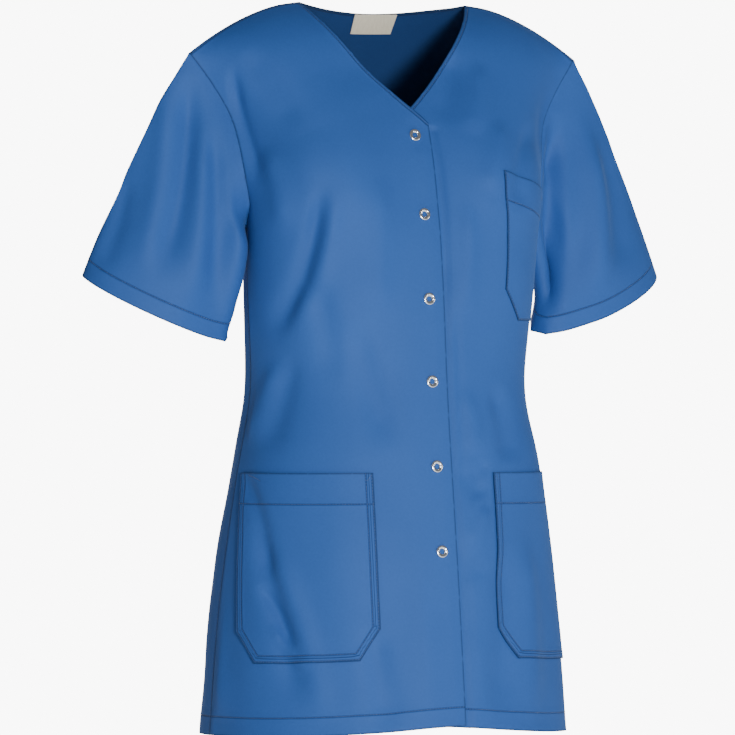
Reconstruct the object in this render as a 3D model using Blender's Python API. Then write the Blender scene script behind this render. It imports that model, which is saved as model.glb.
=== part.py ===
"""Work tunic, worn and hollow: two fronts, a back, two short sleeves, three patch pockets, a blank
neck label and six press studs.

Metres, +Z up. The front faces -Y and +X is the wearer's left. The origin lies between the shoulders,
level with the neck points, where the wearer holds the tunic up.

Each panel is a grid of points on its outer face and a wall worked inwards from it. A level of a panel
runs from its inner edge (front edge and neckline, or centre back) to its outer edge (side seam and
armhole). Up to the underarm the levels are sections of the body tube. Above it they fill the patch
between the underarm level, the shoulder seam and the two edges.
"""
import math

import bmesh
import bpy
import numpy as np

# ---- cloth and seams
CLOTH = 0.0015            # wall of a panel
PATCH_CLOTH = 0.0012      # wall of a pocket
LABEL_CLOTH = 0.001       # wall of the woven label
SEAM_GAP = 0.0003         # between two panels at a seam
ARMHOLE_GAP = 0.0009      # the armhole seam twists, so its pieces stand a little further apart
LAY_GAP = 0.0003          # under a pocket, the label or a press stud

# ---- the cut of the tunic
HEM = -0.757              # height of the bottom edge
UNDERARM = -0.236         # height where side seam and armhole meet
OVERLAP = 0.018           # from the centre to the front edge
LAYER_LIFT = 0.00195      # how far the upper front rises, and the lower one sinks, at the closing
LIFT_FADE = 0.045         # distance from the centre where both are level again
NECK_WIDTH = 0.095        # half width at the neck points
NECK_POINT_Y = 0.004
SHOULDER_TIP = (0.221, 0.001, -0.055)
SHOULDER_ROUND = 1.7      # power by which the shoulder seam falls away
BACK_NECK = (0.040, -0.009)   # y and z of the back neckline at the centre
CHEST_FALL = 1.3          # how soon the chest falls away towards the shoulder
BACK_FALL = 1.25          # the same for the back
HEM_RISE = 0.012          # how much higher the front edge hangs than the side seam at the hem
SECTION_POINTS = 161      # points along half a section of the body
CLOSING_SHARES = (0.16, 0.46)   # where the flat strip of the closing starts and ends to fade
LIFT_ENDS = 0.4           # last part of the rise, where the two layers come level
BUST = dict(x=0.092, z=-0.222, proud=0.013, half_width=0.055, half_height=0.085)


def table(names, *rows):
    """Named columns of a short table."""
    return dict(zip(names.split(), np.array(rows, float).T))


# Body tube, a row for each level. Squareness is the power of the rounded section.
BODY = table(
    "height  half_width front_depth back_depth front_square back_square",
    (HEM,    0.198,     0.160,      0.145,     2.0,         2.1),
    (-0.640, 0.189,     0.147,      0.130,     2.0,         2.2),
    (-0.570, 0.180,     0.138,      0.118,     2.1,         2.3),
    (-0.481, 0.166,     0.126,      0.098,     2.3,         2.3),
    (-0.393, 0.151,     0.115,      0.088,     2.1,         2.1),
    (-0.307, 0.155,     0.107,      0.085,     2.5,         2.1),
    (UNDERARM, 0.157,   0.098,      0.086,     2.8,         2.2),
)
# Inner edge of a front above the underarm: front edge, its corner, then the neckline.
FRONT_EDGE = table(
    "height   x         y",
    (UNDERARM, -OVERLAP, -0.098),
    (-0.175,  -OVERLAP, -0.084),
    (-0.126,  -OVERLAP, -0.068),
    (-0.111,  0.000,    -0.063),
    (-0.076,  0.037,    -0.0455),
    (-0.043,  0.063,    -0.0365),
    (-0.016,  0.084,    -0.0165),
    (0.000,   NECK_WIDTH, NECK_POINT_Y),
)
CENTRE_BACK = table(
    "height   y",
    (UNDERARM, 0.086),
    (-0.160,  0.088),
    (-0.090,  0.076),
    (-0.040,  0.057),
    (BACK_NECK[1], BACK_NECK[0]),
)
ARMHOLE = table(
    "height   front_x front_y back_x back_y",
    (UNDERARM, 0.157, 0.000,  0.157, 0.000),
    (-0.215,  0.160,  -0.018, 0.160, 0.022),
    (-0.177,  0.170,  -0.024, 0.168, 0.044),
    (-0.128,  0.177,  -0.013, 0.177, 0.050),
    (-0.090,  0.196,  -0.006, 0.194, 0.036),
    (-0.066,  0.213,  -0.002, 0.212, 0.014),
    (SHOULDER_TIP[2], SHOULDER_TIP[0], SHOULDER_TIP[1], SHOULDER_TIP[0], SHOULDER_TIP[1]),
)

# ---- levels and columns of the grids
POCKET_FOOT = -0.682
POCKET_CLIP = -0.650      # top of the clipped lower corners
POCKET_MOUTH = -0.487
CHEST_FOOT = -0.330
CHEST_CLIP = -0.298
LOW_LEVELS = [HEM, -0.720, POCKET_FOOT, POCKET_CLIP, -0.618, -0.586, -0.553, -0.520, POCKET_MOUTH,
              -0.455, -0.424, -0.393, -0.362, CHEST_FOOT, CHEST_CLIP, -0.267]
CHEST_MOUTH_RISE = 0.27   # rises are fractions of the way from the underarm level to the top edge
CORNER_RISE = (-0.126 - UNDERARM) / -UNDERARM
V_RISE = (-0.111 - UNDERARM) / -UNDERARM     # foot of the V, where the necklines cross
LABEL_FOOT_RISE = 0.912
RISES = [0.0, 0.14, CHEST_MOUTH_RISE, 0.375, CORNER_RISE, V_RISE, 0.61, 0.70, 0.785, 0.855,
         LABEL_FOOT_RISE, 0.955, 0.985, 1.0]
# Columns of a front by their reach, which is the distance along the cloth from the centre. At the hip
# the reaches are fixed, so that the pockets keep their width. Above the waist they share the level.
POCKET_NEAR = 0.069
POCKET_WIDTH = 0.160
HIP_REACHES = [-OVERLAP, OVERLAP, 0.044] + [POCKET_NEAR + POCKET_WIDTH * i / 7 for i in range(8)]
CHEST_SHARES = [0, 0.161, 0.26, 0.36, 0.47, 0.583, 0.657, 0.732, 0.806, 0.881, 0.955, 1]
HIP_TO_WAIST = (POCKET_MOUTH, -0.424)
# Columns under the back neckline, as parts of its half width. The first one from the centre is an end
# of the label, which sits a little to the wearer's left.
NECK_SHARES = {-1: [0.0, 0.17, 0.58, 1.0], 1: [0.0, 0.34, 0.67, 1.0]}
BACK_NECK_PART = 0.40     # part of a back level that lies under the neckline
TURN_COLUMN = 7           # column of a front that runs down the middle of its pockets

# ---- folds that show from a step away: a trough (or ridge, if negative) between two places on a panel
FRONT_FOLDS = table(
    "side   x_top  z_top   x_foot z_foot  half_width depth",
    (-1,    0.178, -0.080, 0.150, -0.205, 0.014,     0.0035),
    (-1,    0.108, -0.180, 0.148, -0.350, 0.020,     0.0050),
    (-1,    0.150, -0.500, 0.118, -0.740, 0.024,     0.0045),
    (-1,    0.060, -0.560, 0.075, -0.757, 0.030,     0.0030),
    (1,     0.178, -0.080, 0.150, -0.205, 0.014,     0.0030),
    (1,     0.055, -0.300, 0.040, -0.520, 0.026,     0.0030),
    (1,     0.120, -0.500, 0.140, -0.757, 0.026,     0.0045),
)
BACK_FOLDS = table(
    "side   x_top  z_top   x_foot z_foot  half_width depth",
    (-1,    0.050, -0.420, 0.075, -0.757, 0.030,     0.0060),
    (1,     0.065, -0.440, 0.095, -0.757, 0.032,     0.0060),
    (-1,    0.120, -0.200, 0.095, -0.360, 0.024,     0.0040),
    (1,     0.115, -0.190, 0.085, -0.370, 0.024,     0.0045),
)

# ---- sleeves
CUFF_CENTRE = {-1: (-0.248, 0.026, -0.317), 1: (0.256, 0.026, -0.309)}
CUFF_OUTWARD = {-1: (-0.075, 0.013, 0.031), 1: (0.080, 0.013, 0.031)}    # to the outer corner
CUFF_FORWARD = (0.0, -0.038, -0.016)      # from the centre to the front
SLEEVE_STEPS = [0.0, 0.09, 0.2, 0.33, 0.46, 0.6, 0.73, 0.86, 1.0]
CAP_ROUND = 0.008         # how far the sleeve's front and back stand proud of straight lines
SLEEVE_FOLDS = table(
    "side   turn   half_turn step_from step_to depth",
    (-1,    0.33,  0.07,     0.05,     1.10,   0.0060),
    (1,     0.36,  0.07,     0.10,     1.10,   0.0040),
    (-1,    -0.45, 0.10,     0.10,     1.10,   0.0050),
    (1,     -0.42, 0.10,     0.10,     1.10,   0.0050),
)

# ---- press studs
STUD_HEIGHTS = [-0.139, -0.221, -0.308, -0.393, -0.480, -0.567]
RING_SIDES = 16
CORE_SIDES = 12
RING_RADIUS = 0.0063      # outer radius of a prong ring
RING_HOLE = 0.0034
RING_RISE = 0.0012
RING_SHOULDER = 0.7       # where a ring's sides turn in, as part of its rise
RING_BEVEL = 0.0004
RING_LAY = 0.0006         # a ring spans cloth that bends a little under it
CORE_RADIUS = 0.0053      # socket and stud
SOCKET_RISE = 0.0009
STUD_BASE = 0.0006
KNOB_RADIUS = 0.0020      # where the socket closes over the stud

# ---- colours and finishes
CLOTH_BLUE = (0.045, 0.140, 0.390)
LABEL_CREAM = (0.70, 0.66, 0.55)
STUD_STEEL = (0.62, 0.62, 0.64)


def smooth_line(xs, ys, x):
    """A smooth curve through the table's points that never swings past them."""
    xs = np.asarray(xs, float)
    ys = np.asarray(ys, float)
    step = np.diff(xs)
    slope = np.diff(ys) / step
    tangent = np.empty_like(ys)
    tangent[0], tangent[-1] = slope[0], slope[-1]
    before, after = slope[:-1], slope[1:]
    same_way = before * after > 0
    mean = 2 * before * after / np.where(same_way, before + after, 1)
    tangent[1:-1] = np.where(same_way, mean, 0)
    x = np.asarray(x, float)
    i = np.clip(np.searchsorted(xs, x) - 1, 0, len(xs) - 2)
    t = np.clip((x - xs[i]) / step[i], 0, 1)
    rise = (1 + 2 * t) * (1 - t) ** 2 * ys[i] + t * t * (3 - 2 * t) * ys[i + 1]
    return rise + step[i] * t * (1 - t) * ((1 - t) * tangent[i] - t * tangent[i + 1])


def ease(x):
    """0 below 0, 1 above 1 and a soft step between."""
    x = np.clip(x, 0, 1)
    return x * x * (3 - 2 * x)


def unit(vectors):
    return vectors / np.linalg.norm(vectors, axis=-1, keepdims=True)


def distance_along(points):
    """Length of a line from its first point to each of its points."""
    return np.r_[0, np.cumsum(np.linalg.norm(np.diff(points, axis=0), axis=1))]


def points_at(points, distances):
    """The points of a line that lie at the given distances from its start."""
    run = distance_along(points)
    return np.stack([np.interp(distances, run, points[:, k]) for k in range(3)], axis=1)


def body_level(height, front):
    """Half a section of the body tube: from the front edge, or the centre back, to the side seam."""
    half_width = smooth_line(BODY["height"], BODY["half_width"], height)
    face = "front" if front else "back"
    depth = smooth_line(BODY["height"], BODY[face + "_depth"], height)
    square = smooth_line(BODY["height"], BODY[face + "_square"], height)
    start = -math.asin(OVERLAP / half_width) if front else 0
    x = np.sin(np.linspace(start, math.pi / 2, SECTION_POINTS))
    y = depth * (1 - np.abs(x) ** square).clip(0) ** (1 / square)
    return np.stack([half_width * x, -y if front else y, np.full_like(x, height)], axis=1)


def shoulder_seam(shares):
    """From the neck point to the shoulder tip."""
    shares = np.asarray(shares, float)
    x = NECK_WIDTH + (SHOULDER_TIP[0] - NECK_WIDTH) * shares
    y = NECK_POINT_Y + (SHOULDER_TIP[1] - NECK_POINT_Y) * shares
    return np.stack([x, y, SHOULDER_TIP[2] * shares ** SHOULDER_ROUND], axis=1)


def back_neckline(shares):
    """From the centre back to the neck point, as an oval in plan."""
    shares = np.asarray(shares, float)
    y = NECK_POINT_Y + (BACK_NECK[0] - NECK_POINT_Y) * (1 - shares ** 2.2).clip(0) ** 0.75
    return np.stack([NECK_WIDTH * shares, y, BACK_NECK[1] * (1 - shares ** 2)], axis=1)


def patch_level(rise, low, top, inner, outer, shares, fall):
    """One level between the underarm level `low` and the top edge `top`, held to both side edges."""
    turn = math.asin(min(rise, 1))
    keep = np.array([1 - rise, math.cos(turn) ** fall, 1 - rise])
    level = low * keep + top * (1 - keep)
    shares = np.asarray(shares, float)[:, None]
    return level + (1 - shares) * (inner - level[0]) + shares * (outer - level[-1])


def armhole_point(rise, face):
    height = UNDERARM + (SHOULDER_TIP[2] - UNDERARM) * rise
    x = smooth_line(ARMHOLE["height"], ARMHOLE[face + "_x"], height)
    y = smooth_line(ARMHOLE["height"], ARMHOLE[face + "_y"], height)
    return np.array([x, y, height], float)


def front_levels():
    """Points of a front in its own half: x is positive towards its side seam."""
    levels = []
    for height in LOW_LEVELS:
        line = body_level(height, front=True)
        reach = distance_along(line)
        shared = np.array(CHEST_SHARES) * reach[-1]
        fixed = np.r_[np.array(HIP_REACHES) + OVERLAP, reach[-1]]
        chest = ease((height - HIP_TO_WAIST[0]) / (HIP_TO_WAIST[1] - HIP_TO_WAIST[0]))
        level = points_at(line, fixed + (shared - fixed) * chest)
        hips = ease((HIP_TO_WAIST[1] - height) / (HIP_TO_WAIST[1] - HEM))
        level[:, 2] += HEM_RISE * hips * (1 - level[:, 0].clip(0) / level[-1, 0]) ** 1.5
        levels.append(level)
    line = body_level(UNDERARM, front=True)
    low = points_at(line, np.array(CHEST_SHARES) * distance_along(line)[-1])
    top = shoulder_seam(CHEST_SHARES)
    for rise in RISES:
        height = UNDERARM * (1 - rise)
        inner = np.array([smooth_line(FRONT_EDGE["height"], FRONT_EDGE[k], height) for k in "xy"] + [height])
        outer = armhole_point(rise, "front")
        level = patch_level(rise, low, top, inner, outer, CHEST_SHARES, CHEST_FALL)
        if rise <= V_RISE:
            # the closing is the same on both sides of the centre, so that its layers lie parallel
            strip = ease((CLOSING_SHARES[1] - np.array(CHEST_SHARES[1:])) / (CLOSING_SHARES[1] - CLOSING_SHARES[0]))
            level[1:] += (level[0] - level[1])[None, :] * (0, 1, 1) * (strip / strip[0])[:, None]
        levels.append(level)
    return np.array(levels)


def back_levels(side):
    """Points of half the back, from the centre to the side seam, with x positive."""
    neck = np.array(NECK_SHARES[side][:-1])
    shares = np.r_[neck * BACK_NECK_PART, BACK_NECK_PART + (1 - BACK_NECK_PART) * np.array(CHEST_SHARES)]
    levels = []
    for height in LOW_LEVELS + [UNDERARM]:
        line = body_level(height, front=False)
        levels.append(points_at(line, shares * distance_along(line)[-1]))
    low = levels.pop()
    top = np.r_[back_neckline(neck), shoulder_seam(CHEST_SHARES)]
    for rise in RISES:
        height = UNDERARM + (BACK_NECK[1] - UNDERARM) * rise
        inner = np.array([0, smooth_line(CENTRE_BACK["height"], CENTRE_BACK["y"], height), height], float)
        outer = armhole_point(rise, "back")
        levels.append(patch_level(rise, low, top, inner, outer, shares, BACK_FALL))
    return np.array(levels)


def grid_normals(grid, outward):
    """Directions square to a grid of points, on the side that `outward` gives."""
    normals = unit(np.cross(np.gradient(grid, axis=0), np.gradient(grid, axis=1)))
    middle = normals[len(grid) // 3, grid.shape[1] // 2]
    return normals * np.sign(np.dot(middle, outward))


def press_folds(grid, normals, folds, side):
    """Sink each fold of this side into the grid, deepest along its line and soft at its ends."""
    moved = grid.copy()
    rows = zip(*(folds[k] for k in ("side", "x_top", "z_top", "x_foot", "z_foot", "half_width", "depth")))
    for fold_side, x_top, z_top, x_foot, z_foot, half_width, depth in rows:
        if fold_side != side:
            continue
        top = np.array([x_top, z_top])
        run = np.array([x_foot, z_foot]) - top
        place = grid[..., [0, 2]] - top
        along = (place @ run) / (run @ run)
        across = np.abs(place[..., 0] * run[1] - place[..., 1] * run[0]) / np.linalg.norm(run)
        ends = ease(along / 0.25) * ease((1.12 - along) / 0.25)
        moved -= normals * (depth * ends * np.exp(-(across / half_width) ** 2))[..., None]
    return moved


def raise_bust(grid, normals):
    """The fullness that the bust dart gives."""
    across = (grid[..., 0] - BUST["x"]) / BUST["half_width"]
    along = (grid[..., 2] - BUST["z"]) / BUST["half_height"]
    return grid + normals * (BUST["proud"] * np.exp(-across ** 2 - along ** 2))[..., None]


def hold_edges(moved, grid):
    """Keep the side seam, the armhole and the top edge where their tables put them."""
    moved[:, -1] = grid[:, -1]
    moved[-1] = grid[-1]
    return moved


def front_grid(side):
    """Outer points of a front, levels by columns, columns from its front edge to its side seam."""
    grid = front_levels()
    normals = grid_normals(grid, (0, -1, 0))
    moved = raise_bust(grid, normals)
    moved = press_folds(moved, normals, FRONT_FOLDS, side)
    moved = hold_edges(moved, grid)
    lift = LAYER_LIFT * (1 - ease((grid[..., 0] - OVERLAP) / (LIFT_FADE - OVERLAP)))
    lift *= ease((1.0 - np.r_[np.zeros(len(LOW_LEVELS)), RISES]) / LIFT_ENDS)[:, None]
    moved -= side * normals * lift[..., None]
    return moved * (side, 1, 1)


def back_grid():
    """Outer points of the back, columns from the right side seam to the left one."""
    halves = {}
    for side in (-1, 1):
        half = back_levels(side)
        normals = grid_normals(half, (0, 1, 0))
        moved = hold_edges(press_folds(half, normals, BACK_FOLDS, side), half)
        halves[side] = moved * (side, 1, 1)
    return np.concatenate([halves[-1][:, ::-1], halves[1][:, 1:]], axis=1)


def seam_normals(normals, other):
    """Give two panels one direction where they meet, so that their walls are mitred."""
    mean = unit(normals + other)
    return mean, mean.copy()


def body_panels():
    """Outer points and normals of the three panels, with their seams parted."""
    grids = {"front_right": front_grid(-1), "front_left": front_grid(1), "back": back_grid()}
    outward = {"front_right": (0, -1, 0), "front_left": (0, -1, 0), "back": (0, 1, 0)}
    normals = {name: grid_normals(grid, outward[name]) for name, grid in grids.items()}
    shoulder = len(CHEST_SHARES)
    under = len(LOW_LEVELS) + 1
    back, back_normals = grids["back"], normals["back"]
    for name, side_column, shoulder_columns in (
        ("front_right", 0, slice(shoulder - 1, None, -1)),
        ("front_left", -1, slice(-shoulder, None)),
    ):
        front, front_normals = grids[name], normals[name]
        seam = np.s_[:under, side_column]
        front_normals[:under, -1], back_normals[seam] = seam_normals(front_normals[:under, -1], back_normals[seam])
        seam = np.s_[-1, shoulder_columns]
        front_normals[-1], back_normals[seam] = seam_normals(front_normals[-1], back_normals[seam])
        for edge in (front[:, -1], front[-1, :-1]):
            edge[:, 1] -= SEAM_GAP / 2
        for edge in (back[:, side_column], back[-1, shoulder_columns][:-1]):
            edge[:, 1] += SEAM_GAP / 2
    return grids, normals


def armhole_ring(grids, side):
    """The armhole from the underarm up the front, over the shoulder and down the back."""
    front = grids["front_right" if side < 0 else "front_left"]
    back = grids["back"]
    column, next_column = (0, 1) if side < 0 else (-1, -2)
    under = len(LOW_LEVELS)
    up_front = front[under:, -1]
    down_back = back[under:, column][::-1]
    tip = len(RISES) - 1
    ring = np.concatenate([up_front, down_back[1:-1]])
    ring[0] = (up_front[0] + down_back[-1]) / 2
    ring[tip] = (up_front[-1] + down_back[0]) / 2
    outwards = np.concatenate([up_front - front[under:, -2], (down_back - back[under:, next_column][::-1])[1:-1]])
    outwards[0] = up_front[0] - front[under - 1, -1]
    outwards[tip] += down_back[0] - back[-1, next_column]
    along = unit(np.roll(ring, -1, axis=0) - np.roll(ring, 1, axis=0))
    away = outwards - along * np.sum(outwards * along, axis=1, keepdims=True)
    return ring, unit(away)


def sleeve_walls(grids, inner_grids, side):
    """Outer and inner rings of a sleeve, from the armhole to the cuff."""
    ring, away = armhole_ring(grids, side)
    inner_ring, _ = armhole_ring(inner_grids, side)
    run = distance_along(np.r_[ring, ring[:1]])
    shoulder = len(RISES) - 1
    turn = np.where(np.arange(len(ring)) <= shoulder, run[:-1] / run[shoulder],
                    -(run[-1] - run[:-1]) / (run[-1] - run[shoulder]))
    angle = math.pi * turn[:, None]
    outward, forward = np.array(CUFF_OUTWARD[side]), np.array(CUFF_FORWARD)
    radial = -outward * np.cos(angle) + forward * np.sin(angle)
    cuff = np.array(CUFF_CENTRE[side]) + radial
    start = ring + away * ARMHOLE_GAP
    fullness = np.sin(angle) ** 2 - 0.1 - 0.9 * np.cos(angle)    # below 0 under the arm, clear of the body
    rings = []
    for step in SLEEVE_STEPS:
        swell = CAP_ROUND * math.sin(math.pi * step) ** 0.6 * fullness
        rings.append(start * (1 - step) + cuff * step + unit(radial) * swell)
    rings = np.array(rings)
    wrapped = np.concatenate([rings[:, -1:], rings, rings[:, :1]], axis=1)
    normals = unit(np.cross(np.gradient(wrapped, axis=0), np.gradient(wrapped, axis=1)))[:, 1:-1]
    normals *= np.sign(np.sum(normals[-1] * radial))
    for fold_side, fold_turn, half_turn, step_from, step_to, depth in zip(*SLEEVE_FOLDS.values()):
        if fold_side != side:
            continue
        along = (np.array(SLEEVE_STEPS) - step_from) / (step_to - step_from)
        ends = ease(along / 0.35) * ease((1.2 - along) / 0.3)
        across = (turn - fold_turn) / half_turn
        rings -= normals * (depth * ends[:, None] * np.exp(-across ** 2))[..., None]
    inner = rings - normals * CLOTH
    inner[0] = inner_ring + away * ARMHOLE_GAP
    return rings, inner


def grid_cells(shape, rows=None, columns=None, closed=False):
    """Three-cornered cells of a grid, or of some of its rows and columns, numbered row by row.

    The cells of the columns before TURN_COLUMN are split one way and the rest the other way, so that
    both lower corners of a pocket are cells of their own. A closed grid joins its last column to its first.
    """
    high, wide = shape[:2]
    rows = rows or range(high)
    columns = columns or range(wide)
    cells = []
    for i in rows[:-1]:
        for j in columns if closed else columns[:-1]:
            k = (j + 1) % wide
            a, b, c, d = i * wide + j, i * wide + k, (i + 1) * wide + k, (i + 1) * wide + j
            cells += [(a, b, d), (b, c, d)] if j < TURN_COLUMN else [(a, b, c), (a, c, d)]
    return cells


def wall(name, outer, inner, cells, material):
    """A closed wall: the cells on the outer points, the same ones on the inner points, and its rim."""
    count = outer.reshape(-1, 3).shape[0]
    edges = {}
    for cell in cells:
        for a, b in zip(cell, cell[1:] + cell[:1]):
            edges[(a, b)] = edges.get((a, b), 0) + 1
    rim = [(a, b) for a, b in edges if (b, a) not in edges]
    mesh = bmesh.new()
    points = [mesh.verts.new(p) for p in np.concatenate([outer.reshape(-1, 3), inner.reshape(-1, 3)])]
    for cell in cells:
        mesh.faces.new([points[v] for v in cell])
        mesh.faces.new([points[v + count] for v in reversed(cell)])
    for a, b in rim:
        mesh.faces.new([points[b], points[a], points[a + count], points[b + count]])
    bmesh.ops.delete(mesh, geom=[v for v in mesh.verts if not v.link_faces], context="VERTS")
    return add_object(name, mesh, material)


def add_object(name, mesh, material, smooth_angle=math.radians(40)):
    bmesh.ops.recalc_face_normals(mesh, faces=mesh.faces)
    data = bpy.data.meshes.new(name)
    mesh.to_mesh(data)
    mesh.free()
    data.shade_smooth()
    data.set_sharp_from_angle(angle=smooth_angle)
    data.materials.append(material)
    thing = bpy.data.objects.new(name, data)
    bpy.context.scene.collection.objects.link(thing)
    return thing


def patch(name, grid, normals, rows, columns, lay, thickness, material, clipped=False):
    """A piece laid on part of a panel, from the panel's own points. `lay` is signed: below 0 is inside."""
    near = grid + normals * lay
    far = near + normals * math.copysign(thickness, lay)
    cells = grid_cells(grid.shape, rows, columns)
    if clipped:
        foot = rows[0] * grid.shape[1]
        corners = {foot + columns[0], foot + columns[-1]}
        cells = [cell for cell in cells if not corners & set(cell)]
    return wall(name, far, near, cells, material)


def turned_ring(name, profile, sides, place, axis, material):
    """A ring or knob turned about `axis` through `place`; the profile is (radius, height) round its section."""
    axis = unit(np.array(axis, float))
    across = unit(np.cross(axis, (0, 0, 1)))
    up = np.cross(across, axis)
    mesh = bmesh.new()
    circles = []
    for radius, height in profile:
        if radius == 0:
            circles.append([mesh.verts.new(place + axis * height)] * sides)
            continue
        angles = [2 * math.pi * i / sides for i in range(sides)]
        circles.append([mesh.verts.new(place + axis * height + radius * (across * math.cos(a) + up * math.sin(a)))
                        for a in angles])
    closed = profile[0][0] > 0
    pairs = list(zip(circles, circles[1:] + circles[:1])) if closed else list(zip(circles, circles[1:]))
    for low, high in pairs:
        for i in range(sides):
            k = (i + 1) % sides
            corners = list(dict.fromkeys([low[i], low[k], high[k], high[i]]))
            mesh.faces.new(corners)
    return add_object(name, mesh, material)


def stud_seat(grid, height):
    """Where the closing's centre line meets a front's outer face, and the direction square to it."""
    at_centre = np.abs(grid[:, 0, 0]) / (np.abs(grid[:, 0, 0]) + np.abs(grid[:, 1, 0]))
    line = grid[:, 0] + (grid[:, 1] - grid[:, 0]) * at_centre[:, None]
    upper = int(np.searchsorted(line[:, 2], height))
    share = (height - line[upper - 1, 2]) / (line[upper, 2] - line[upper - 1, 2])
    place = line[upper - 1] + (line[upper] - line[upper - 1]) * share
    along = line[upper] - line[upper - 1]
    across = grid[upper, 1] - grid[upper, 0]
    normal = unit(np.cross(along, across))
    return place, normal * np.sign(-normal[1])


def press_studs(grids, material):
    """Each has an open prong ring outside, a socket closed over its stud between the fronts, and a ring behind."""
    shoulder = RING_RISE * RING_SHOULDER
    ring = [(RING_HOLE, 0), (RING_RADIUS, 0), (RING_RADIUS - RING_BEVEL, shoulder),
            ((RING_HOLE + RING_RADIUS) / 2, RING_RISE), (RING_HOLE + RING_BEVEL, shoulder)]
    for number, height in enumerate(STUD_HEIGHTS, 1):
        upper, upper_out = stud_seat(grids["front_right"], height)
        lower, lower_out = stud_seat(grids["front_left"], height)
        axis = unit(upper_out + lower_out)
        apart = np.dot(upper - lower, axis)
        lower = upper - axis * apart
        span = apart - CLOTH - 2 * LAY_GAP
        core = [(0, 0), (CORE_RADIUS, 0), (CORE_RADIUS, STUD_BASE), (KNOB_RADIUS, STUD_BASE),
                (KNOB_RADIUS, span - SOCKET_RISE), (CORE_RADIUS, span - SOCKET_RISE), (CORE_RADIUS, span), (0, span)]
        turned_ring(f"snap_ring_{number}", ring, RING_SIDES, upper + axis * RING_LAY, axis, material)
        turned_ring(f"snap_core_{number}", core, CORE_SIDES, lower + axis * LAY_GAP, axis, material)
        turned_ring(f"snap_back_{number}", ring, CORE_SIDES, lower - axis * (CLOTH + RING_LAY), -axis, material)


def finish(name, colour, roughness, metallic=0.0):
    material = bpy.data.materials.new(name)
    material.use_nodes = True
    shader = material.node_tree.nodes["Principled BSDF"]
    shader.inputs["Base Color"].default_value = (*colour, 1)
    shader.inputs["Roughness"].default_value = roughness
    shader.inputs["Metallic"].default_value = metallic
    return material


def pockets(grids, normals, material):
    foot, mouth = LOW_LEVELS.index(POCKET_FOOT), LOW_LEVELS.index(POCKET_MOUTH)
    near, far = len(HIP_REACHES) - 8, len(HIP_REACHES) - 1
    rows, columns = range(foot, mouth + 1), range(near, far + 1)
    for name, panel in (("pocket_hip_right", "front_right"), ("pocket_hip_left", "front_left")):
        patch(name, grids[panel], normals[panel], rows, columns, LAY_GAP, PATCH_CLOTH, material, clipped=True)
    foot, mouth = LOW_LEVELS.index(CHEST_FOOT), len(LOW_LEVELS) + RISES.index(CHEST_MOUTH_RISE)
    near, far = CHEST_SHARES.index(0.47), CHEST_SHARES.index(0.881)
    rows, columns = range(foot, mouth + 1), range(near, far + 1)
    patch("pocket_chest", grids["front_left"], normals["front_left"], rows, columns, LAY_GAP, PATCH_CLOTH,
          material, clipped=True)


def neck_label(grids, normals, material):
    centre = grids["back"].shape[1] // 2
    rows = range(len(LOW_LEVELS) + RISES.index(LABEL_FOOT_RISE), len(grids["back"]))
    columns = range(centre - 1, centre + 2)
    patch("label", grids["back"], normals["back"], rows, columns, -(CLOTH + LAY_GAP), LABEL_CLOTH, material)


def main():
    for thing in list(bpy.data.objects):
        bpy.data.objects.remove(thing)
    cloth = finish("tunic_cloth", CLOTH_BLUE, 0.55)
    cream = finish("label_cloth", LABEL_CREAM, 0.8)
    steel = finish("snap_metal", STUD_STEEL, 0.25, metallic=1.0)
    grids, normals = body_panels()
    inner_grids = {name: grids[name] - normals[name] * CLOTH for name in grids}
    for name, grid in grids.items():
        wall(name, grid, inner_grids[name], grid_cells(grid.shape), cloth)
    for name, side in (("sleeve_right", -1), ("sleeve_left", 1)):
        outer, inner = sleeve_walls(grids, inner_grids, side)
        wall(name, outer, inner, grid_cells(outer.shape, closed=True), cloth)
    pockets(grids, normals, cloth)
    neck_label(grids, normals, cream)
    press_studs(grids, steel)


if __name__ == "__main__":
    main()
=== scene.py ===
# %% [markdown]
# # A work tunic with press studs, worn and hollow
#
# This lesson dresses the imported solids of a short-sleeved work tunic. Each panel of cloth is taken from
# its solid, made finer, creased and given its thickness again. Stitches, prong rings and the
# woven neck label follow. Lengths are metres, +Z is up and the front faces -Y.

# %% The frame, and the imported solids
import math

import bpy
import numpy as np
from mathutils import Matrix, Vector, noise
from mathutils.bvhtree import BVHTree
from mathutils.kdtree import KDTree


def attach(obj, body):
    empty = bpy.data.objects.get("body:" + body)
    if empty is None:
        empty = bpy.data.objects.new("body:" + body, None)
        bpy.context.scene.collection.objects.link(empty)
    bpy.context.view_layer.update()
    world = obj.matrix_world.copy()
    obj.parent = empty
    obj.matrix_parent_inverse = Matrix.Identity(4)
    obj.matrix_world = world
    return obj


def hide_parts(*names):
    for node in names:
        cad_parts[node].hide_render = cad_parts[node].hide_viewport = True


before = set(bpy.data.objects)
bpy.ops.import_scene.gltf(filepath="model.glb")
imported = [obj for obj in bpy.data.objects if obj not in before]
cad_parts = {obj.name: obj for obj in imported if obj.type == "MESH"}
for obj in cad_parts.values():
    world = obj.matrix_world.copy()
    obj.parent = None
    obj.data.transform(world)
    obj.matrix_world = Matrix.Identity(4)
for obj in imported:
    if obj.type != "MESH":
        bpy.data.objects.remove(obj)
bpy.context.view_layer.update()
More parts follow.
